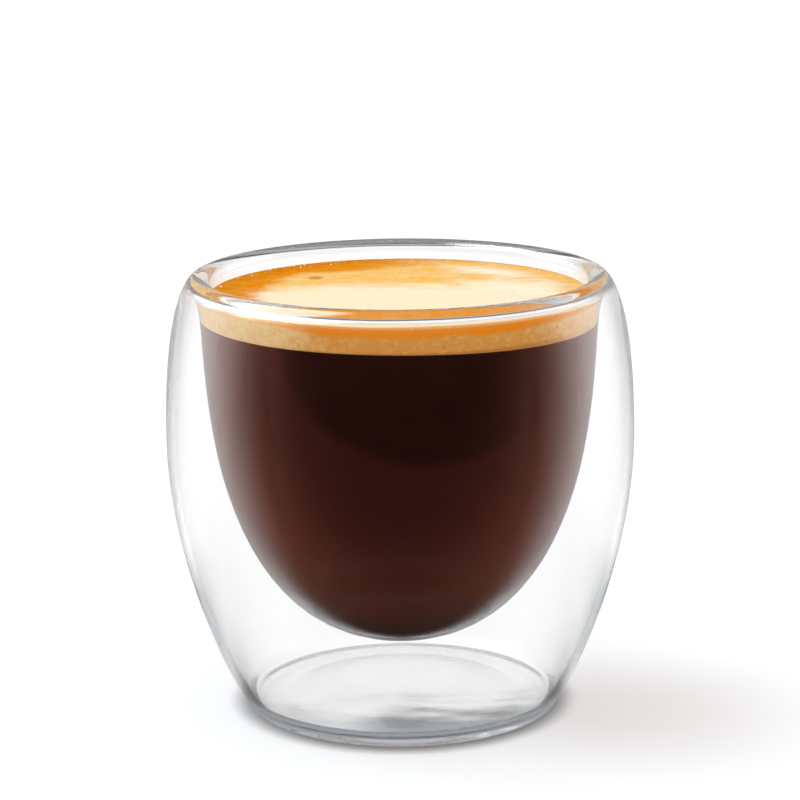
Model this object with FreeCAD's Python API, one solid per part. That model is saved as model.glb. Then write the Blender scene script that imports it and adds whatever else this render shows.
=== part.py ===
import FreeCAD, Part
import math
import os

# Double espresso in a rounded double-wall glass: the glass, the coffee that fills its inner bowl
# and the layer of crema on top. Millimetres, +Z up, the origin at the middle of the foot.
# Every outline lies in the XZ plane and is turned about Z.

# Driving dimensions of the glass
glass_height = 64.1
widest_radius = 34.0
widest_height = 40.0
lip_radius = 29.05  # where the lip is highest
wall = 1.2

# Foot: a flat ring round a shallow hollow
foot_radius = 22.0
foot_ring_radius = 17.0
foot_hollow = 0.6
foot_corner_radius = 1.2
foot_corner_turn = 52.7  # degrees, from level to the start of the side

# How fast the side leaves the foot, passes its widest point and closes in to the lip
side_pull_foot = 4.84
side_pull_below = 17.3
side_pull_above = 18.2
side_pull_lip = 2.0

# Mouth: the lip is rounded over to the inside and the bowl opens a little below it
mouth_radius = 27.16
mouth_height = 62.5
throat_radius = 27.25
throat_height = 56.9

# Inner bowl, inside face
bowl_bottom_height = 12.0
bowl_bottom_pull = 20.4
bowl_side_radius = 26.55
bowl_side_height = 34.6

# Inner bowl, outside face
bowl_bottom_wall = 2.0
bowl_outer_pull = 21.85
bowl_outer_side_radius = 28.1
bowl_outer_side_height = 33.4
bowl_outer_throat = 28.85

# Sealed space between the two walls
gap_middle_height = 2.3
gap_floor_height = 1.5  # round the raised middle
gap_floor_radius = 18.0
gap_middle_pull = 8.0
gap_corner_pull = 3.2
gap_corner_end_pull = 2.4
gap_corner_share = 0.13  # how far up the lower side its floor's round corner ends
gap_top_height = 62.68
gap_top_radius = 29.4
gap_inner_pull = 0.45
gap_cap_pull = 0.2
gap_cap_share = 0.85  # how far up the upper side its round top begins

# Levels of the drink
coffee_level = 57.0
crema_level = 60.9
meniscus_rise = 0.35
meniscus_width = 1.6


def point(radius, height):
    return FreeCAD.Vector(radius, 0, height)


def line(start, end):
    return Part.LineSegment(start, end).toShape()


def curve(*poles):
    bezier = Part.BezierCurve()
    bezier.setPoles(list(poles))
    return bezier.toShape()


def turned(edges):
    """The solid that a closed outline sweeps in one turn about Z."""
    face = Part.Face(Part.Wire(edges))
    solid = face.revolve(FreeCAD.Vector(0, 0, 0), FreeCAD.Vector(0, 0, 1), 360)
    if solid.Volume < 0:
        solid.reverse()
    return solid


def foot_corner():
    """Start, middle and end of the small arc between the foot's ring and the side."""
    turn = math.radians(foot_corner_turn)
    points = []
    for angle in (0, turn / 2, turn):
        points.append(
            point(
                foot_radius + foot_corner_radius * math.sin(angle),
                foot_corner_radius * (1 - math.cos(angle)),
            )
        )
    return points


def side_poles(inset):
    """Poles of the outer side, from the foot's corner to the widest point and on to the lip."""
    turn = math.radians(foot_corner_turn)
    start = foot_corner()[2] + point(-math.sin(turn) * inset, math.cos(turn) * inset)
    leave = point(math.cos(turn) * side_pull_foot, math.sin(turn) * side_pull_foot)
    widest = point(widest_radius - inset, widest_height)
    top = point(lip_radius, glass_height - inset)
    below = [start, start + leave, widest - point(0, side_pull_below), widest]
    above = [widest, widest + point(0, side_pull_above), top + point(side_pull_lip, 0), top]
    return below, above


def outside():
    """The whole glass with nothing hollowed out of it."""
    below, above = side_poles(0)
    corner = foot_corner()
    hollow_middle = point(foot_ring_radius / 2, foot_hollow * 0.75)
    return turned(
        [
            Part.Arc(point(0, foot_hollow), hollow_middle, point(foot_ring_radius, 0)).toShape(),
            line(point(foot_ring_radius, 0), corner[0]),
            Part.Arc(*corner).toShape(),
            curve(*below),
            curve(*above),
            line(above[3], point(0, glass_height)),
            line(point(0, glass_height), point(0, foot_hollow)),
        ]
    )


def bowl_poles():
    """Poles of the bowl's inside face, from its bottom on the axis to the throat."""
    return [
        point(0, bowl_bottom_height),
        point(bowl_bottom_pull, bowl_bottom_height),
        point(bowl_side_radius, bowl_side_height),
        point(throat_radius, throat_height),
    ]


def bowl_space():
    """What is hollow inside the glass, from the bowl's bottom up to the lip's top."""
    lip_width = lip_radius - mouth_radius
    lip_drop = glass_height - mouth_height
    round_off = 0.5523  # pole length that makes a quarter turn of an ellipse
    return turned(
        [
            curve(*bowl_poles()),
            curve(
                point(throat_radius, throat_height),
                point(throat_radius + 0.05, throat_height + 2.5),
                point(mouth_radius - 0.1, mouth_height - 1.8),
                point(mouth_radius, mouth_height),
            ),
            curve(
                point(mouth_radius, mouth_height),
                point(mouth_radius, mouth_height + lip_drop * round_off),
                point(lip_radius - lip_width * round_off, glass_height),
                point(lip_radius, glass_height),
            ),
            line(point(lip_radius, glass_height), point(0, glass_height)),
            line(point(0, glass_height), point(0, bowl_bottom_height)),
        ]
    )


def gap():
    """The sealed space: the bowl's outside face, a round top, the side's inside face, the floor."""
    outer_bottom = bowl_bottom_height - bowl_bottom_wall
    bowl_bottom = point(0, outer_bottom)
    bowl_throat = point(bowl_outer_throat, throat_height)
    below, above = side_poles(wall)

    lower_side = Part.BezierCurve()
    lower_side.setPoles(below)
    lower_side.segment(gap_corner_share, 1)
    corner_end = lower_side.StartPoint
    corner_direction = lower_side.tangent(0)[0]

    upper_side = Part.BezierCurve()
    upper_side.setPoles(above)
    upper_side.segment(0, gap_cap_share)
    cap_start = upper_side.EndPoint
    cap_direction = upper_side.tangent(1)[0]

    cap_top = point(gap_top_radius, gap_top_height)
    floor_edge = point(gap_floor_radius, gap_floor_height)
    return turned(
        [
            curve(
                bowl_bottom,
                point(bowl_outer_pull, outer_bottom),
                point(bowl_outer_side_radius, bowl_outer_side_height),
                bowl_throat,
            ),
            curve(
                bowl_throat,
                point(bowl_outer_throat, gap_top_height - gap_inner_pull),
                cap_top - point(gap_inner_pull, 0),
                cap_top,
            ),
            curve(
                cap_top,
                cap_top + point(gap_cap_pull, 0),
                cap_start + cap_direction * gap_cap_pull,
                cap_start,
            ),
            upper_side.toShape(),
            lower_side.toShape(),
            curve(
                floor_edge,
                floor_edge + point(gap_corner_pull, 0),
                corner_end - corner_direction * gap_corner_end_pull,
                corner_end,
            ),
            curve(
                point(0, gap_middle_height),
                point(gap_middle_pull, gap_middle_height),
                floor_edge - point(gap_middle_pull, 0),
                floor_edge,
            ),
            line(point(0, gap_middle_height), bowl_bottom),
        ]
    )


def below_coffee_level():
    return Part.makeCylinder(widest_radius, coffee_level)


def below_crema_surface():
    """All that is lower than the crema's surface, which climbs a little where it meets the glass."""
    wall_radius = mouth_radius
    flat_radius = wall_radius - meniscus_width
    climb_end = point(wall_radius, crema_level + meniscus_rise)
    return turned(
        [
            line(point(0, 0), point(0, crema_level)),
            line(point(0, crema_level), point(flat_radius, crema_level)),
            curve(
                point(flat_radius, crema_level),
                point(wall_radius - meniscus_width / 3, crema_level),
                climb_end,
            ),
            line(climb_end, point(wall_radius, 0)),
            line(point(wall_radius, 0), point(0, 0)),
        ]
    )


def main():
    space = bowl_space()
    drink = space.common(below_crema_surface())
    nodes = {
        "glass": outside().cut(space).cut(gap()),
        "coffee": drink.common(below_coffee_level()),
        "crema": drink.cut(below_coffee_level()),
    }
    os.makedirs("parts", exist_ok=True)
    for name, shape in nodes.items():
        solid = shape.Solids[0]
        solid.exportStep("parts/" + name + ".step")
        box = solid.BoundBox
        print(
            name,
            "solids", len(shape.Solids),
            "shells", len(solid.Shells),
            "valid", solid.isValid(),
            "volume ml", round(solid.Volume / 1000, 2),
            "z", round(box.ZMin, 2), round(box.ZMax, 2),
            "width", round(box.XLength, 2),
        )


main()
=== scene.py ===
import bpy
import math
import random
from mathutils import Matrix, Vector


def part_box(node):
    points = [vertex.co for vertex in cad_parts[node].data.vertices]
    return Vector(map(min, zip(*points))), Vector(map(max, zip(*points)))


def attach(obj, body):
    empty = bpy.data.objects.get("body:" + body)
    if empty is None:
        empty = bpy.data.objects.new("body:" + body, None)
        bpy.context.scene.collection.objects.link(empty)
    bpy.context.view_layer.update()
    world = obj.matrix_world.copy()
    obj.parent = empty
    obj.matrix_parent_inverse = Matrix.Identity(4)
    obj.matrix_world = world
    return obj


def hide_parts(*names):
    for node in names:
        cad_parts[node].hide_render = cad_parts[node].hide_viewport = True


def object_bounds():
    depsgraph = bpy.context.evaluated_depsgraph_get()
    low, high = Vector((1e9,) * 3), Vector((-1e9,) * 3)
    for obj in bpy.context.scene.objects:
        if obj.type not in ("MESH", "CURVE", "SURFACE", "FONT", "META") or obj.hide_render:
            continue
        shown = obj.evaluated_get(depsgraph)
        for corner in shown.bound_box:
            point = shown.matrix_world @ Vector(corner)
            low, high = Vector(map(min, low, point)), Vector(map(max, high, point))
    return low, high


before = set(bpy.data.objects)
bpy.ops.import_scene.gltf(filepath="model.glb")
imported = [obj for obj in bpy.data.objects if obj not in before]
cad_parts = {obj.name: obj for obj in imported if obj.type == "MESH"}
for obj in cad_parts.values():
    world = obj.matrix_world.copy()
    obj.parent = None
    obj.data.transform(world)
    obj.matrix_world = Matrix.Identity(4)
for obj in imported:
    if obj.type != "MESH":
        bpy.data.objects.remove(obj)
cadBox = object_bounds()
glassLow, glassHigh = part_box("glass")
coffeeLow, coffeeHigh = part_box("coffee")
cremaLow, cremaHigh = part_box("crema")
mm = 0.001
print("frame loaded, glass", round(glassHigh.x * 2 / mm, 1), "mm wide")


class Wire:  # one socket of a material, which can be used in sums and products
    def __init__(self, recipe, socket):
        self.recipe = recipe
        self.socket = socket

    def maths(self, operation, *others):
        sockets = dict(enumerate((self, *others)))
        node = self.recipe.add("ShaderNodeMath", {"operation": operation}, sockets)
        return Wire(self.recipe, node.outputs[0])

    def __add__(self, other):
        return self.maths("ADD", other)

    def __radd__(self, other):
        return self.maths("ADD", other)

    def __mul__(self, other):
        return self.maths("MULTIPLY", other)

    def __rmul__(self, other):
        return self.maths("MULTIPLY", other)

    def __sub__(self, other):
        return self.maths("SUBTRACT", other)

    def __rsub__(self, other):
        return (self * -1) + other

    def __truediv__(self, other):
        return self.maths("DIVIDE", other)

    def power(self, exponent):
        return self.maths("POWER", exponent)

    def atMost(self, other):
        return self.maths("MINIMUM", other)

    def atLeast(self, other):
        return self.maths("MAXIMUM", other)

    def clamped(self):
        return self.atLeast(0.0).atMost(1.0)


class Recipe:  # a node tree that is being put together
    def __init__(self, tree):
        self.tree = tree
        tree.nodes.clear()

    def add(self, kind, settings=None, sockets=None):
        node = self.tree.nodes.new(kind)
        for name, value in (settings or {}).items():
            if name == "stops":
                self.setStops(node.color_ramp, value)
            else:
                setattr(node, name, value)
        for name, value in (sockets or {}).items():
            if isinstance(value, Wire):
                self.tree.links.new(value.socket, node.inputs[name])
            else:
                node.inputs[name].default_value = value
        return node

    def setStops(self, ramp, stops):
        while len(ramp.elements) < len(stops):
            ramp.elements.new(1.0)
        for element, (position, colour) in zip(ramp.elements, stops):
            element.position = position
            element.color = colour

    def wire(self, kind, output=0, settings=None, sockets=None):
        return Wire(self, self.add(kind, settings, sockets).outputs[output])

    def smooth(self, value, low, high):  # 0 below low, 1 above high, eased between
        return self.wire(
            "ShaderNodeMapRange",
            settings={"interpolation_type": "SMOOTHSTEP"},
            sockets={"Value": value, "From Min": low, "From Max": high},
        )

    def blend(self, share, first, second):  # colours
        return self.wire(
            "ShaderNodeMix",
            output=2,
            settings={"data_type": "RGBA"},
            sockets={0: share, 6: first, 7: second},
        )


def srgb(red, green, blue):
    channels = []
    for value in (red, green, blue):
        share = value / 255
        channels.append(share / 12.92 if share <= 0.04045 else ((share + 0.055) / 1.055) ** 2.4)
    return (*channels, 1.0)


def grey(value):
    return (value, value, value, 1.0)


def newMaterial(name):
    material = bpy.data.materials.new(name)
    material.use_nodes = True
    return material, Recipe(material.node_tree)


def finishSurface(recipe, **sockets):
    names = {key.replace("_", " "): value for key, value in sockets.items()}
    shader = recipe.wire("ShaderNodeBsdfPrincipled", sockets=names)
    recipe.add("ShaderNodeOutputMaterial", sockets={"Surface": shader})


def deselectAll():
    if bpy.context.object and bpy.context.object.mode != "OBJECT":
        bpy.ops.object.mode_set(mode="OBJECT")
    bpy.ops.object.select_all(action="DESELECT")


def drawOutline(name, stretches, fineness):
    # a stretch is a line's two points or a curve's four poles, as (radius, height) in millimetres
    stretches = [each if len(each) == 4 else (each[0], each[0], each[1], each[1]) for each in stretches]
    deselectAll()
    bpy.ops.curve.primitive_bezier_curve_add(location=(0, 0, 0))
    outline = bpy.context.object
    outline.name = name
    outline.data.dimensions = "3D"
    spline = outline.data.splines[0]
    spline.resolution_u = fineness
    spline.bezier_points.add(len(stretches) + 1 - len(spline.bezier_points))
    knots = spline.bezier_points
    for knot in knots:
        knot.handle_left_type = "FREE"
        knot.handle_right_type = "FREE"
    for first, last, poles in zip(knots, knots[1:], stretches):
        places = [Vector((radius, 0, height)) * mm for radius, height in poles]
        first.co, first.handle_right, last.handle_left, last.co = places
    bpy.ops.object.convert(target="MESH")
    return bpy.context.object


def splitCurve(poles, share):  # the two curves that a curve falls into at a share of its run
    left = [poles[0]]
    right = [poles[-1]]
    while len(poles) > 1:
        poles = [
            tuple(a + (b - a) * share for a, b in zip(start, end))
            for start, end in zip(poles, poles[1:])
        ]
        left.append(poles[0])
        right.insert(0, poles[-1])
    return left, right


def spinRound(piece, steps):
    deselectAll()
    piece.select_set(True)
    bpy.context.view_layer.objects.active = piece
    bpy.ops.object.mode_set(mode="EDIT")
    bpy.ops.mesh.select_all(action="SELECT")
    bpy.ops.mesh.spin(steps=steps, angle=math.tau, center=(0, 0, 0), axis=(0, 0, 1))
    bpy.ops.mesh.select_all(action="SELECT")
    bpy.ops.mesh.remove_doubles(threshold=0.002 * mm)
    bpy.ops.mesh.normals_make_consistent(inside=False)
    bpy.ops.object.mode_set(mode="OBJECT")
    bpy.ops.object.shade_smooth()
    return piece


def dress(piece, material, node):
    piece.data.materials.clear()
    piece.data.materials.append(material)
    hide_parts(node)
    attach(piece, "root")


glassShape = {
    "widest": glassHigh.x / mm,
    "widestHeight": 40.0,
    "height": glassHigh.z / mm,
    "footPull": 4.84,  # a pull is how far a curve runs straight on before it bends away
    "belowWidestPull": 17.3,
    "aboveWidestPull": 18.2,
    "lipPull": 2.0,
    "wall": 1.2,
    "footHollow": 0.6,
    "footHollowPull": 8.0,
    "footRing": 17.0,
    "footRingPull": (4.0, 0.2),
    "foot": 22.0,
    "footCorner": 1.2,
    "footTurn": 52.7,  # degrees that the foot's corner turns through
    "lip": 29.05,
    "mouth": (27.16, 62.5),
    "mouthPull": (0.1, 1.8),
    "throat": (27.25, 56.9),
    "throatPull": (0.05, 2.5),
    "bowlBottom": coffeeLow.z / mm,
    "bowlBottomPull": 20.4,
    "bowlSide": (26.55, 34.6),  # the pole that the bowl's side bends by
    "bowlBottomWall": 2.0,
    "bowlWall": 1.6,  # where the bowl is thickest above its bottom, just below the lip
    "outerBottomPull": 1.45,  # what the outside face adds to the inside face's poles
    "outerSide": (1.55, -1.2),
    "gapTop": (29.4, 62.68),
    "gapTopPull": (0.4, 0.5),
    "gapCapPull": 0.2,
    "gapTopShare": 0.85,  # how far up the side's upper curve the gap goes
    "gapFloor": (18.0, 1.5),
    "gapFloorPull": (3.2, 8.0),  # outwards and inwards
    "gapCornerPull": 1.5,
    "gapMiddle": (8.0, 2.3),  # the gap's floor is raised in its middle
    "gapFloorShare": 0.13,  # how far up the side's lower curve the gap begins
    "leak": 0.35,  # share of the caught light that leaves the wall
    "waviness": 0.05,
    "steps": 192,
    "fineness": 22,
}


def sideCurves(inset):  # the outer side in two curves, up to its widest point and on to the lip
    shape = glassShape
    turn = math.radians(shape["footTurn"])
    corner = shape["footCorner"]
    pull = shape["footPull"]
    startX = shape["foot"] + (corner - inset) * math.sin(turn)
    startZ = corner - (corner - inset) * math.cos(turn)
    widest = shape["widest"] - inset
    middle = shape["widestHeight"]
    top = shape["height"] - inset
    lower = [
        (startX, startZ),
        (startX + pull * math.cos(turn), startZ + pull * math.sin(turn)),
        (widest, middle - shape["belowWidestPull"]),
        (widest, middle),
    ]
    upper = [
        (widest, middle),
        (widest, middle + shape["aboveWidestPull"]),
        (shape["lip"] + shape["lipPull"], top),
        (shape["lip"], top),
    ]
    return lower, upper


def bowlCurve(moved=0.0):  # from the bottom up: 0 is the bowl's inside face and 1 its outside face
    shape = glassShape
    throat, throatHeight = shape["throat"]
    side, sideHeight = shape["bowlSide"]
    sideOut, sideUp = shape["outerSide"]
    bottom = shape["bowlBottom"] - shape["bowlBottomWall"] * moved
    return [
        (0, bottom),
        (shape["bowlBottomPull"] + shape["outerBottomPull"] * moved, bottom),
        (side + sideOut * moved, sideHeight + sideUp * moved),
        (throat + shape["bowlWall"] * moved, throatHeight),
    ]


def glassSkin():
    shape = glassShape
    lower, upper = sideCurves(0)
    ring, foot, corner = shape["footRing"], shape["foot"], shape["footCorner"]
    mouth, mouthHeight = shape["mouth"]
    throat, throatHeight = shape["throat"]
    lip, top = shape["lip"], shape["height"]
    hollow, ringPull = shape["footHollow"], shape["footRingPull"]
    mouthPull, throatPull = shape["mouthPull"], shape["throatPull"]
    lean = math.radians(shape["footTurn"])
    pull = 4 / 3 * math.tan(lean / 4) * corner
    ahead = (pull * math.cos(lean), pull * math.sin(lean))
    roundOff = 0.5523  # the pull that makes a quarter ellipse
    return [
        [(0, hollow), (shape["footHollowPull"], hollow), (ring - ringPull[0], ringPull[1]), (ring, 0)],
        [(ring, 0), (foot, 0)],
        [(foot, 0), (foot + pull, 0), (lower[0][0] - ahead[0], lower[0][1] - ahead[1]), lower[0]],
        lower,
        upper,
        [
            (lip, top),
            (lip - (lip - mouth) * roundOff, top),
            (mouth, mouthHeight + (top - mouthHeight) * roundOff),
            (mouth, mouthHeight),
        ],
        [
            (mouth, mouthHeight),
            (mouth - mouthPull[0], mouthHeight - mouthPull[1]),
            (throat + throatPull[0], throatHeight + throatPull[1]),
            (throat, throatHeight),
        ],
        bowlCurve()[::-1],
    ]


def gapSkin():
    shape = glassShape
    wall = shape["wall"]
    lower, upper = sideCurves(wall)
    lower = splitCurve(lower, shape["gapFloorShare"])[1]
    upper = splitCurve(upper, shape["gapTopShare"])[0]
    top, topHeight = shape["gapTop"]
    topIn, topDown = shape["gapTopPull"]
    floor, floorHeight = shape["gapFloor"]
    floorOut, floorIn = shape["gapFloorPull"]
    middle, middleHeight = shape["gapMiddle"]
    bowl = bowlCurve(1)
    throat = bowl[3][0]
    pull = shape["gapCapPull"]
    capSlope = Vector(upper[3]) - Vector(upper[2])
    capPole = tuple(Vector(upper[3]) + capSlope.normalized() * pull)
    cornerSlope = Vector(lower[1]) - Vector(lower[0])
    cornerPole = tuple(Vector(lower[0]) - cornerSlope.normalized() * shape["gapCornerPull"])
    return [
        bowl,
        [bowl[3], (throat, topHeight - topDown), (top - topIn, topHeight), (top, topHeight)],
        [(top, topHeight), (top + pull, topHeight), capPole, upper[3]],
        upper[::-1],
        lower[::-1],
        [lower[0], cornerPole, (floor + floorOut, floorHeight), (floor, floorHeight)],
        [(floor, floorHeight), (floor - floorIn, floorHeight), (middle, middleHeight), (0, middleHeight)],
    ]


def makeGlass():
    shape = glassShape
    glass = spinRound(drawOutline("doubleWallGlass", glassSkin(), shape["fineness"]), shape["steps"])
    sealedGap = spinRound(drawOutline("sealedGap", gapSkin(), shape["fineness"]), shape["steps"])
    bpy.ops.object.mode_set(mode="EDIT")
    bpy.ops.mesh.select_all(action="SELECT")
    bpy.ops.mesh.flip_normals()  # the gap's faces look into the gap, away from the glass
    bpy.ops.object.mode_set(mode="OBJECT")
    deselectAll()
    sealedGap.select_set(True)
    glass.select_set(True)
    bpy.context.view_layer.objects.active = glass
    bpy.ops.object.join()
    glass.name = "doubleWallGlass"
    return glass


def makeGlassMaterial():
    material, recipe = newMaterial("clearGlass")
    place = recipe.wire("ShaderNodeTexCoord", output="Object")
    drift = recipe.wire("ShaderNodeTexNoise", sockets={"Vector": place, "Scale": 90.0, "Detail": 2.0})
    waves = {"Height": drift, "Strength": glassShape["waviness"], "Distance": 0.1 * mm}
    waviness = recipe.wire("ShaderNodeBump", sockets=waves)
    shader = recipe.wire(
        "ShaderNodeBsdfPrincipled",
        sockets={
            "Base Color": (1, 1, 1, 1),
            "Roughness": recipe.smooth(drift, 0.6, 0.9) * 0.01,
            "IOR": 1.47,
            "Transmission Weight": 1.0,
            "Normal": waviness,
        },
    )
    # light that is caught inside the wall leaks out of it here and there
    lightPath = recipe.add("ShaderNodeLightPath")
    leaking = Wire(recipe, lightPath.outputs["Glossy Depth"]).clamped() * glassShape["leak"]
    through = recipe.wire("ShaderNodeBsdfTransparent")
    surface = recipe.wire("ShaderNodeMixShader", sockets={0: leaking, 1: shader, 2: through})
    recipe.add("ShaderNodeOutputMaterial", sockets={"Surface": surface})
    return material


coffeeShape = {
    "reach": 0.15,  # share of the bowl's wall that it stands into, so that no air shows between
    "highPaintedSheen": (0.34, 0.1, 0.05, 1),  # painted sheen: a lighter colour at its edges, high and low
    "lowPaintedSheen": (0.17, 0.05, 0.025, 1),
    # painted shade: the body is darker towards the bottom, from middle down to low
    "low": srgb(32, 10, 5),
    "middle": srgb(80, 33, 29),
    "paintedReflection": srgb(50, 20, 14),  # painted dark reflection: a darker zone under the crema
    "paintedReflectionTop": (5.0, 57.5),
    "paintedReflectionSize": (20.0, 15.5),
    "cloud": srgb(70, 30, 16),
    "underCrema": 0.75,  # millimetres that it goes up inside the crema
    "steps": 128,
    "fineness": 24,
}


def makeCoffee():
    side = bowlCurve(coffeeShape["reach"])
    throat, throatHeight = side[3]
    level = coffeeHigh.z / mm + coffeeShape["underCrema"]
    outline = [side, [(throat, throatHeight), (throat, level)], [(throat, level), (0, level)]]
    return spinRound(drawOutline("coffeeBody", outline, coffeeShape["fineness"]), coffeeShape["steps"])


def makeCoffeeMaterial():
    material, recipe = newMaterial("blackCoffee")
    place = recipe.wire("ShaderNodeTexCoord", output="Object")
    cloud = recipe.wire("ShaderNodeTexNoise", sockets={"Vector": place, "Scale": 60.0, "Detail": 2.0})
    parts = recipe.add("ShaderNodeSeparateXYZ", sockets={0: place})
    across, away, up = (Wire(recipe, parts.outputs[n]) / mm for n in range(3))
    # painted dark reflection: a darker zone under the crema, with a cloudy edge
    middle, top = coffeeShape["paintedReflectionTop"]
    halfWidth, depth = coffeeShape["paintedReflectionSize"]
    paintedReflectionAcross, paintedReflectionUp = (across - middle) / halfWidth, (top - up) / depth
    paintedReflectionEdge = (paintedReflectionAcross * paintedReflectionAcross + paintedReflectionUp * paintedReflectionUp).power(0.5) + (cloud - 0.5) * 0.3
    paintedReflection = recipe.smooth(paintedReflectionEdge, 1.06, 0.9)
    # painted shade: darker towards the bottom
    deep = recipe.blend(recipe.smooth(up, 14, 27), coffeeShape["low"], coffeeShape["middle"])
    deep = recipe.blend(paintedReflection * 0.9, deep, coffeeShape["paintedReflection"])
    deep = recipe.blend(cloud * 0.3, deep, coffeeShape["cloud"])
    look = {"Roughness": 0.3, "Specular IOR Level": 0.0}
    body = recipe.wire("ShaderNodeBsdfPrincipled", sockets={**look, "Base Color": deep})
    # painted sheen: a lighter colour is mixed in where the coffee is seen at a slant, more so high up and
    # away from the middle
    lowToHigh = recipe.smooth(up, 14, 32)
    sheenColour = recipe.blend(lowToHigh, coffeeShape["lowPaintedSheen"], coffeeShape["highPaintedSheen"])
    edge = recipe.wire("ShaderNodeBsdfPrincipled", sockets={**look, "Base Color": sheenColour})
    facing = recipe.wire("ShaderNodeLayerWeight", output="Facing", sockets={"Blend": 0.5})
    fromAxis = (across * across + away * away).power(0.5)
    sheen = recipe.smooth(facing, 0.05, 0.3) * (0.35 + 0.65 * recipe.smooth(fromAxis, 10, 20))
    surface = recipe.wire("ShaderNodeMixShader", sockets={0: sheen, 1: body, 2: edge})
    recipe.add("ShaderNodeOutputMaterial", sockets={"Surface": surface})
    return material


cremaShape = {
    "top": 60.9,
    "flatRadius": 25.3,
    "reach": 0.36,  # millimetres that it stands into the glass, a little further than the coffee does
    "wallPull": 1.5,
    "rimTaper": 0.05,
    "meniscusPulls": (0.1, 0.8),
    "edgeFront": 0.55,  # how much higher its lower edge is in front and behind
    "edgeSide": -0.05,
    "edgeLeft": 0.7,
    "steps": 192,
    "fineness": 24,
    "sideGlow": 0.42,
    "cream": srgb(251, 232, 196),
    "gold": srgb(244, 181, 70),
    "pale": srgb(253, 243, 220),
    "deep": srgb(230, 138, 0),
    "speck": srgb(206, 128, 36),
    "spotPlace": (-12.4, 12.8),
    "poreScale": 330.0,
    "holeScale": 620.0,
    "orangeHeights": (59.5, 60.3),
    "frothDepth": 0.3 * mm,
    "sideDeep": srgb(230, 132, 0),
    "sideTan": srgb(214, 148, 72),
    "sidePale": srgb(242, 211, 154),
    "sideSpeck": srgb(170, 96, 40),
    "sidePaintedReflection": srgb(232, 228, 222),
}


def makeCrema():
    shape = cremaShape
    throat = glassShape["throat"][0]
    wall = throat + shape["reach"]
    low = cremaLow.z / mm
    top = shape["top"]
    rim = cremaHigh.z / mm
    flat = shape["flatRadius"]
    pull = shape["wallPull"]
    edge = wall - shape["rimTaper"]
    highPull, lowPull = shape["meniscusPulls"]
    outline = [
        [(0, low), (wall, low)],
        [(wall, low), (wall, low + pull), (wall, rim - pull), (edge, rim)],
        [(edge, rim), (throat - highPull, rim), (throat - lowPull, top), (flat, top)],
        [(flat, top), (0, top)],
    ]
    crema = spinRound(drawOutline("cremaLayer", outline, shape["fineness"]), shape["steps"])
    # a lattice lifts the lower edge in front and behind, and most on the left
    deselectAll()
    bpy.ops.object.add(type="LATTICE", location=(0, 0, (low + rim) / 2 * mm))
    cage = bpy.context.object
    cage.scale = (wall * 2 * mm, wall * 2 * mm, (rim - low) * mm)
    cage.data.points_u, cage.data.points_v, cage.data.points_w = 3, 3, 2
    for kind in ("interpolation_type_u", "interpolation_type_v", "interpolation_type_w"):
        setattr(cage.data, kind, "KEY_CATMULL_ROM")
    for number, point in enumerate(cage.data.points):
        column, row, layer = number % 3, number // 3 % 3, number // 9
        if layer == 0 and column == 1 and row != 1:
            point.co_deform.z += shape["edgeFront"] / (rim - low)
        if layer == 0 and column != 1 and row == 1:
            point.co_deform.z += shape["edgeSide"] / (rim - low)
        if layer == 0 and column == 0:
            point.co_deform.z += shape["edgeLeft"] / (rim - low)
    bend = crema.modifiers.new("edge", "LATTICE")
    bend.object = cage
    deselectAll()
    crema.select_set(True)
    bpy.context.view_layer.objects.active = crema
    bpy.ops.object.modifier_apply(modifier="edge")
    deselectAll()
    cage.select_set(True)
    bpy.ops.object.delete()
    return crema


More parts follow.
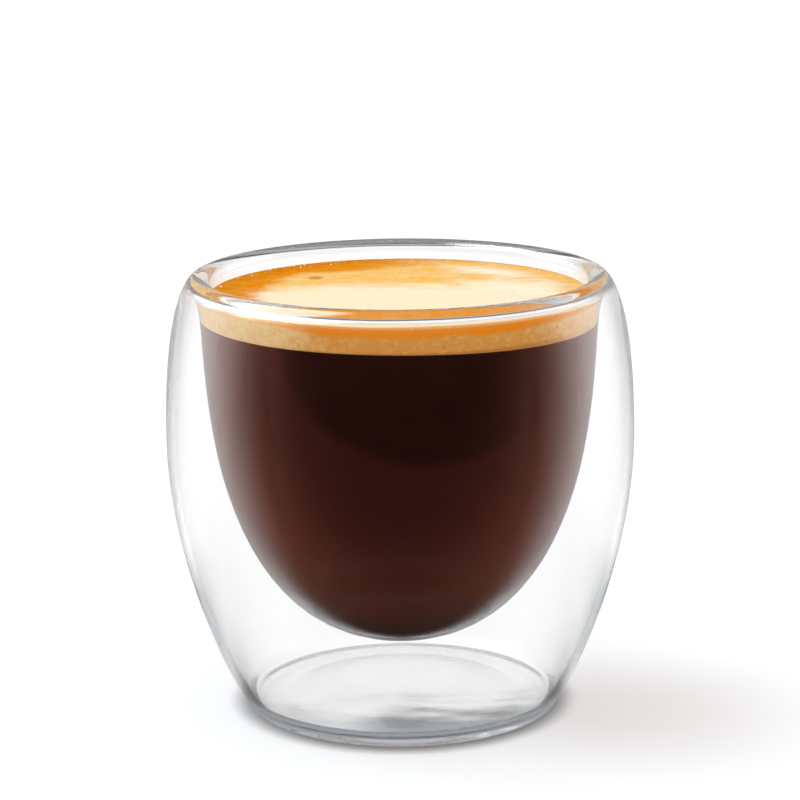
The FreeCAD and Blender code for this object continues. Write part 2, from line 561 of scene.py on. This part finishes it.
def makeCremaMaterial():
    shape = cremaShape
    material, recipe = newMaterial("cremaFoam")
    place = recipe.wire("ShaderNodeTexCoord", output="Object")
    parts = recipe.add("ShaderNodeSeparateXYZ", sockets={0: place})
    across, away, up = (Wire(recipe, parts.outputs[n]) / mm for n in range(3))
    radius = (across * across + away * away).power(0.5)

    def noise(scale, detail=3.0, roughness=0.5, stretch=(1, 1, 1), shift=(0, 0, 0)):
        moved = recipe.wire(
            "ShaderNodeMapping", sockets={"Vector": place, "Scale": stretch, "Location": shift}
        )
        return recipe.wire(
            "ShaderNodeTexNoise",
            sockets={"Vector": moved, "Scale": scale, "Detail": detail, "Roughness": roughness},
        )

    wander = noise(110, 4, 0.6) - 0.5
    streaks = noise(70, 4, 0.6, (0.5, 1.6, 1), (0.004, 0.011, 0)) - 0.5
    grain = noise(1500, 2, 0.6)
    fine = noise(420, 4, 0.65)

    # the top: cream in the middle, gold behind and round the wall, deep orange behind on the left
    mottle = noise(260, 4, 0.7, (0.6, 1.5, 1), (0.02, 0, 0)) - 0.5
    behind = recipe.smooth(away + wander * 10 + streaks * 16 + mottle * 10, 2, 13)
    ring = recipe.smooth(radius + wander * 5, 21, 26)
    gold = behind.atLeast(ring) * (0.8 + 0.5 * (grain - 0.5) + 0.9 * mottle + 0.5 * (fine - 0.5))
    top = recipe.blend(gold.clamped(), shape["cream"], shape["gold"])
    # painted highlights: pale streaks towards the right stand in for glints on the foam
    paintedGlintsRight = recipe.smooth(across + away * 0.2 + wander * 14, 8, 16) * recipe.smooth(radius, 27, 22)
    paintedGlintStreaks = paintedGlintsRight * recipe.smooth(streaks + wander * 0.3, -0.06, 0.12) * 0.85
    top = recipe.blend(paintedGlintStreaks.clamped(), top, shape["pale"])
    leftness = recipe.smooth((away * 0.6 - across * 0.8) / radius.atLeast(1), 0.2, 0.85)
    deepLeft = leftness * recipe.smooth(radius + wander * 7 + leftness * 2.5, 21.6, 25.2)
    deepFront = recipe.smooth(away * -1 + wander * 8, 5, 15) * recipe.smooth(radius + wander * 6, 17, 23)
    deep = deepLeft.atLeast(deepFront * 0.85)
    top = recipe.blend((deep * (0.7 + 0.5 * (grain + mottle))).clamped(), top, shape["deep"])
    dx, dy = across - shape["spotPlace"][0], away - shape["spotPlace"][1]
    spot = recipe.smooth((dx * dx + dy * dy * 0.6).power(0.5) + wander * 3, 1.3, 0.2)
    pores = recipe.wire("ShaderNodeTexVoronoi", sockets={"Vector": place, "Scale": shape["poreScale"]})
    specks = recipe.smooth(pores, 0.16, 0.06) * recipe.smooth(fine, 0.52, 0.62)
    top = recipe.blend((spot * 0.8).atLeast(specks * 0.45), top, shape["speck"])

    # the side that shows through the glass: orange under the top, tan foam below, paler at the ends
    sideWander = noise(160, 3, 0.6, (1, 1, 2.5)) - 0.5
    ends = recipe.smooth((across * across).power(0.5) - across * 0.25 + sideWander * 10, 10, 23)
    orange = recipe.smooth(up + sideWander * 1.5 - ends, *shape["orangeHeights"])
    paleness = (ends * 0.8 + (fine - 0.5) * 0.7 + (grain - 0.5) * 0.9).clamped()
    foam = recipe.blend(paleness, shape["sideTan"], shape["sidePale"])
    side = recipe.blend((orange * (1 - ends * 0.6)).clamped(), foam, shape["sideDeep"])
    holes = recipe.wire("ShaderNodeTexVoronoi", sockets={"Vector": place, "Scale": shape["holeScale"]})
    sideSpecks = recipe.smooth(holes, 0.2, 0.08) * recipe.smooth(fine + sideWander * 0.6, 0.5, 0.6)
    side = recipe.blend(sideSpecks * 0.7, side, shape["sideSpeck"])
    lowest = recipe.smooth(up + wander * 0.5, 58.0, 57.5) * (1 - ends)
    side = recipe.blend(lowest * 0.5, side, shape["sideSpeck"])
    wall = glassShape["throat"][0]
    isSide = recipe.smooth(radius, wall + 0.05, wall + 0.2)
    # painted reflection: where the glass mirrors the side, the side shows as pale grey
    lightPath = recipe.add("ShaderNodeLightPath")
    mirrored = Wire(recipe, lightPath.outputs["Glossy Depth"]).clamped()
    side = recipe.blend(mirrored * 0.95, side, shape["sidePaintedReflection"])

    relief = {"Height": (fine + pores) * 0.5, "Strength": 0.12, "Distance": shape["frothDepth"]}
    froth = recipe.wire("ShaderNodeBump", sockets=relief)
    finishSurface(
        recipe,
        Base_Color=recipe.blend(isSide, top, side),
        Roughness=0.42 + 0.2 * fine,
        Specular_IOR_Level=0.0,
        Emission_Color=recipe.blend(isSide, grey(0), side),  # foam that light from above comes through
        Emission_Strength=shape["sideGlow"],
        Normal=froth,
    )
    return material


bubbleShape = {
    "count": 70,
    "smallest": 0.06,
    "largest": 0.2,
    "ringRadius": 26.85,
    "ringWidth": 1.1,
    "climb": 0.13,  # how steeply the crema rises to the glass there
    "thickest": math.radians(125),  # where round the glass they gather
}


def makeBubbles():
    shape = bubbleShape
    draw = random.Random(11)
    bubbles = []
    while len(bubbles) < shape["count"]:
        angle = draw.uniform(-math.pi, math.pi)
        nearness = (1 + math.cos(angle - shape["thickest"])) / 2
        if draw.random() > 0.12 + 0.88 * nearness ** 4:
            continue
        size = shape["smallest"] + (shape["largest"] - shape["smallest"]) * draw.random() ** 2.5
        inward = shape["ringWidth"] * draw.random() ** 3
        radius = shape["ringRadius"] - inward
        climb = max(0.0, radius - cremaShape["flatRadius"]) ** 2 * shape["climb"]
        place = Vector((math.cos(angle) * radius, math.sin(angle) * radius, cremaShape["top"] + climb))
        deselectAll()
        bpy.ops.mesh.primitive_ico_sphere_add(subdivisions=2, radius=size * mm, location=place * mm)
        bubbles.append(bpy.context.object)
    deselectAll()
    for bubble in bubbles:
        bubble.select_set(True)
    bpy.context.view_layer.objects.active = bubbles[0]
    bpy.ops.object.join()
    bpy.ops.object.transform_apply(location=True, rotation=True, scale=True)
    bpy.ops.object.shade_smooth()
    piece = bpy.context.object
    piece.name = "cremaBubbles"
    return piece


def makeBubbleMaterial():
    material, recipe = newMaterial("bubbleFilm")
    place = recipe.wire("ShaderNodeTexCoord", output="Object")
    cloud = recipe.wire("ShaderNodeTexNoise", sockets={"Vector": place, "Scale": 900.0, "Detail": 2.0})
    colour = recipe.blend(cloud, srgb(240, 190, 110), srgb(255, 244, 224))
    relief = {"Height": cloud, "Strength": 0.1, "Distance": 0.05 * mm}
    ripple = recipe.wire("ShaderNodeBump", sockets=relief)
    finishSurface(
        recipe,
        Base_Color=colour,
        Roughness=0.08 + 0.1 * cloud,
        Coat_Weight=1.0,
        Coat_Roughness=0.03,
        Normal=ripple,
    )
    return material


studio = {
    "floorGlow": 0.6,
    "floorPale": 0.46,
    # painted shadows in the floor's glow: a dark contact shadow round the foot and a soft shadow to its
    # right
    "paintedContactShadowColour": (0.1, 0.09, 0.08, 1),
    "paintedContactShadowEdge": (26.5, 22.5),  # millimetres from the middle
    "softShadowAt": (34.0, -8.0),
    "softShadowEdge": (30.0, 4.0),
    "softShadowGlow": (0.78, 0.73, 0.72, 1),
    "keyLight": (3.4, 3.8, 4.2, 1),
    "keyFrom": (-0.8, 0.2, 0.56),
    "floorDrop": 0.03 * mm,
    "backdrop": 1.02,
    "floorSide": 12,
    "closeFloor": (0.40, 0.43, 0.46, 1),  # the floor just round the foot, as the glass mirrors it
    "floorBehind": (0.16, 0.165, 0.16, 1),  # what the back of the lip mirrors
    "floorThrough": 1.12,  # the floor as it shows through the glass
    # painted shade: darker streaks under the foot, seen through the glass
    "paintedStreak": 0.6,
    "paintedFootRimShade": (0.38, 0.4, 0.44, 1),  # painted shade: the floor greyer where it shows through the foot's rounded edge
    "paintedPoolUnderFoot": (0.36, 0.38, 0.39, 1),  # painted shade: a grey pool under the front of the foot, seen through the glass
    "litBack": 1.1,
    "litFront": 1.1,
    "litAbove": 0.82,
    "mirroredAbove": 0.9,
    "mirroredBand": 0.06,  # a dark stretch high up behind
    "lampFrom": (-0.58, 0.12, 0.8),
    "mirroredLamp": 14.0,
    "mirroredRound": [  # what the glass mirrors, from straight in front round to straight behind
        (0.0, 0.012),
        (0.3, 0.02),
        (0.42, 0.2),
        (0.52, 0.75),
        (0.62, 1.25),
        (0.78, 1.2),
        (0.9, 0.6),
        (1.0, 0.42),
    ],
}


def mirroredRound(recipe, across, away):
    distance = (across * across + away * away).power(0.5).atLeast(0.001)
    behind = away / distance * 0.5 + 0.5
    stops = [(share, grey(value)) for share, value in studio["mirroredRound"]]
    return recipe.wire(
        "ShaderNodeValToRGB",
        settings={"stops": stops},
        sockets={0: behind},
    )


def makeFloor():
    deselectAll()
    level = glassLow.z - studio["floorDrop"]
    bpy.ops.mesh.primitive_plane_add(size=studio["floorSide"], location=(0, 0, level))
    floor = bpy.context.object
    floor.name = "floor"
    material, recipe = newMaterial("paleFloor")
    place = recipe.wire("ShaderNodeTexCoord", output="Object")
    parts = recipe.add("ShaderNodeSeparateXYZ", sockets={0: place})
    across, away = (Wire(recipe, parts.outputs[n]) for n in range(2))
    lightPath = recipe.add("ShaderNodeLightPath")
    mirrored = Wire(recipe, lightPath.outputs["Glossy Depth"]).clamped()
    lighting = Wire(recipe, lightPath.outputs["Diffuse Depth"]).clamped()
    distance = (across * across + away * away).power(0.5) / mm
    # painted shadows: the glow darkens round the foot and in a soft patch to its right
    paintedContactShadow = recipe.smooth(distance, *studio["paintedContactShadowEdge"])
    middleX, middleY = studio["softShadowAt"]
    dx, dy = across / mm - middleX, away / mm - middleY
    softShadow = recipe.smooth((dx * dx + dy * dy).power(0.5), *studio["softShadowEdge"])
    glow = recipe.blend(softShadow, (1, 1, 1, 1), studio["softShadowGlow"])
    pale = recipe.wire(
        "ShaderNodeBsdfPrincipled",
        sockets={
            "Base Color": grey(studio["floorPale"]),
            "Roughness": 0.9,
            "Specular IOR Level": 0.0,
            "Emission Color": recipe.blend(paintedContactShadow, glow, studio["paintedContactShadowColour"]),
            "Emission Strength": studio["floorGlow"],
        },
    )
    passes = Wire(recipe, lightPath.outputs["Transmission Depth"])
    fewWalls = 1 - (passes - 2).clamped()
    besideFoot = recipe.smooth(distance, 95, 50) * recipe.smooth(away / mm, -5, 15)
    near = besideFoot.atLeast(recipe.smooth(distance, 27, 23)) * fewWalls * 0.8
    around = recipe.blend(near, mirroredRound(recipe, across, away), studio["closeFloor"])
    behindGlass = recipe.smooth(away / mm, 30, 42) * recipe.smooth(away / mm, 80, 60) * fewWalls * 0.85
    behindGlass = behindGlass * recipe.smooth(across * across / mm / mm, 2800, 1200)
    around = recipe.blend(behindGlass, around, studio["floorBehind"])
    # painted shade in the floor as seen through the glass: darker streaks and a grey pool under the foot
    stretched = recipe.wire("ShaderNodeMapping", sockets={"Vector": place, "Scale": (0.5, 1.6, 1)})
    ripple = {"Vector": stretched, "Scale": 150.0, "Detail": 3.0}
    waves = recipe.wire("ShaderNodeTexNoise", sockets=ripple)
    paintedPool = recipe.smooth(away / mm * -1 + (waves - 0.5) * 22, 3, 15) * recipe.smooth(distance, 30, 20)
    poolSide = recipe.smooth(across / mm, -10, 0) * recipe.smooth(across / mm, 24, 14)
    underFoot = recipe.smooth(distance, 24, 19) * recipe.smooth(away / mm, 4, -6)
    paintedFootStreaks = recipe.smooth(waves, 0.5, 0.66) * underFoot
    through = recipe.blend(paintedFootStreaks * 0.35, grey(studio["floorThrough"]), grey(studio["paintedStreak"]))
    under = recipe.blend(paintedPool * (0.4 + 0.6 * poolSide), through, studio["paintedPoolUnderFoot"])
    # painted shade: the floor greyer where it shows through the foot's rounded edge
    paintedFootRimShade = fewWalls * recipe.smooth(distance, 200, 90) * 0.85
    under = recipe.blend(paintedFootRimShade, under, studio["paintedFootRimShade"])
    inGlass = recipe.wire("ShaderNodeEmission", sockets={"Color": recipe.blend(mirrored, under, around)})
    passing = passes.clamped()
    share = passing.atLeast(mirrored) * (1 - lighting)
    surface = recipe.wire("ShaderNodeMixShader", sockets={0: share, 1: pale, 2: inGlass})
    recipe.add("ShaderNodeOutputMaterial", sockets={"Surface": surface})
    floor.data.materials.append(material)


def makeWorld():
    world = bpy.data.worlds.new("studio")
    bpy.context.scene.world = world
    world.use_nodes = True
    recipe = Recipe(world.node_tree)
    direction = recipe.wire("ShaderNodeTexCoord", output="Generated")
    parts = recipe.add("ShaderNodeSeparateXYZ", sockets={0: direction})
    across, away, up = (Wire(recipe, parts.outputs[n]) for n in range(3))
    lightPath = recipe.add("ShaderNodeLightPath")
    mirroring = Wire(recipe, lightPath.outputs["Glossy Depth"]).clamped()
    lighting = Wire(recipe, lightPath.outputs["Diffuse Depth"]).clamped()
    frontSide = recipe.smooth(away * -1, -0.1, 0.4)
    above = recipe.smooth(up, 0.35, 0.9)
    mirrored = recipe.blend(above, mirroredRound(recipe, across, away), grey(studio["mirroredAbove"]))
    passes = Wire(recipe, lightPath.outputs["Transmission Depth"])
    fewWalls = 1 - (passes - 2).clamped()
    manyWalls = (passes - 3).clamped()
    mirrored = recipe.blend(manyWalls * 0.75, mirrored, grey(studio["backdrop"]))
    darkBand = recipe.smooth(up, 0.35, 0.5) * recipe.smooth(away, 0.3, 0.5)
    darkBand = darkBand * recipe.smooth(across, -0.35, -0.1) * fewWalls
    mirrored = recipe.blend(darkBand, mirrored, grey(studio["mirroredBand"]))
    toLamp = recipe.wire(
        "ShaderNodeVectorMath",
        output="Value",
        settings={"operation": "DOT_PRODUCT"},
        sockets={0: direction, 1: Vector(studio["lampFrom"]).normalized()},
    )
    lamp = recipe.smooth(toLamp, 0.9, 0.96) * fewWalls
    mirrored = recipe.blend(lamp, mirrored, grey(studio["mirroredLamp"]))
    litSides = recipe.blend(frontSide, grey(studio["litBack"]), grey(studio["litFront"]))
    lit = recipe.blend(above, litSides, grey(studio["litAbove"]))
    toKey = recipe.wire(
        "ShaderNodeVectorMath",
        output="Value",
        settings={"operation": "DOT_PRODUCT"},
        sockets={0: direction, 1: Vector(studio["keyFrom"]).normalized()},
    )
    lit = recipe.blend(recipe.smooth(toKey, 0.9, 0.97), lit, studio["keyLight"])
    # painted shade: the backdrop seen through the foot takes the foot rim's grey
    inFoot = passes.clamped() * fewWalls * recipe.smooth(up, -0.05, 0.0)
    straight = recipe.blend(inFoot * 0.8, grey(studio["backdrop"]), studio["paintedFootRimShade"])
    seen = recipe.blend(mirroring, straight, mirrored)
    colour = recipe.blend(lighting, seen, lit)
    background = recipe.wire("ShaderNodeBackground", sockets={"Color": colour, "Strength": 1.0})
    recipe.add("ShaderNodeOutputWorld", sockets={"Surface": background})


cameraPlace = {
    "aimHeight": 0.7042 * cadBox[1].z,
    "distance": 0.394,
    "elevation": 12.84,
    "lens": 121.9,
    "roll": -0.55,
}


def makeCamera():
    tilt = math.radians(cameraPlace["elevation"])
    reach = cameraPlace["distance"]
    place = (0, -reach * math.cos(tilt), cameraPlace["aimHeight"] + reach * math.sin(tilt))
    bpy.ops.object.camera_add(location=place, rotation=(math.pi / 2 - tilt, 0, 0))
    camera = bpy.context.object
    camera.rotation_euler.rotate_axis("Z", math.radians(cameraPlace["roll"]))
    camera.data.lens = cameraPlace["lens"]
    camera.data.sensor_width = 36
    camera.data.clip_start = 0.01
    bpy.context.scene.camera = camera


glass = makeGlass()
dress(glass, makeGlassMaterial(), "glass")
print("glass made")
coffee = makeCoffee()
dress(coffee, makeCoffeeMaterial(), "coffee")
crema = makeCrema()
dress(crema, makeCremaMaterial(), "crema")
bubbles = makeBubbles()
bubbles.data.materials.append(makeBubbleMaterial())
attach(bubbles, "root")
print("drink made")
makeFloor()
makeWorld()
deselectAll()
makeCamera()
bpy.context.scene.view_settings.view_transform = "Standard"
print("studio made")
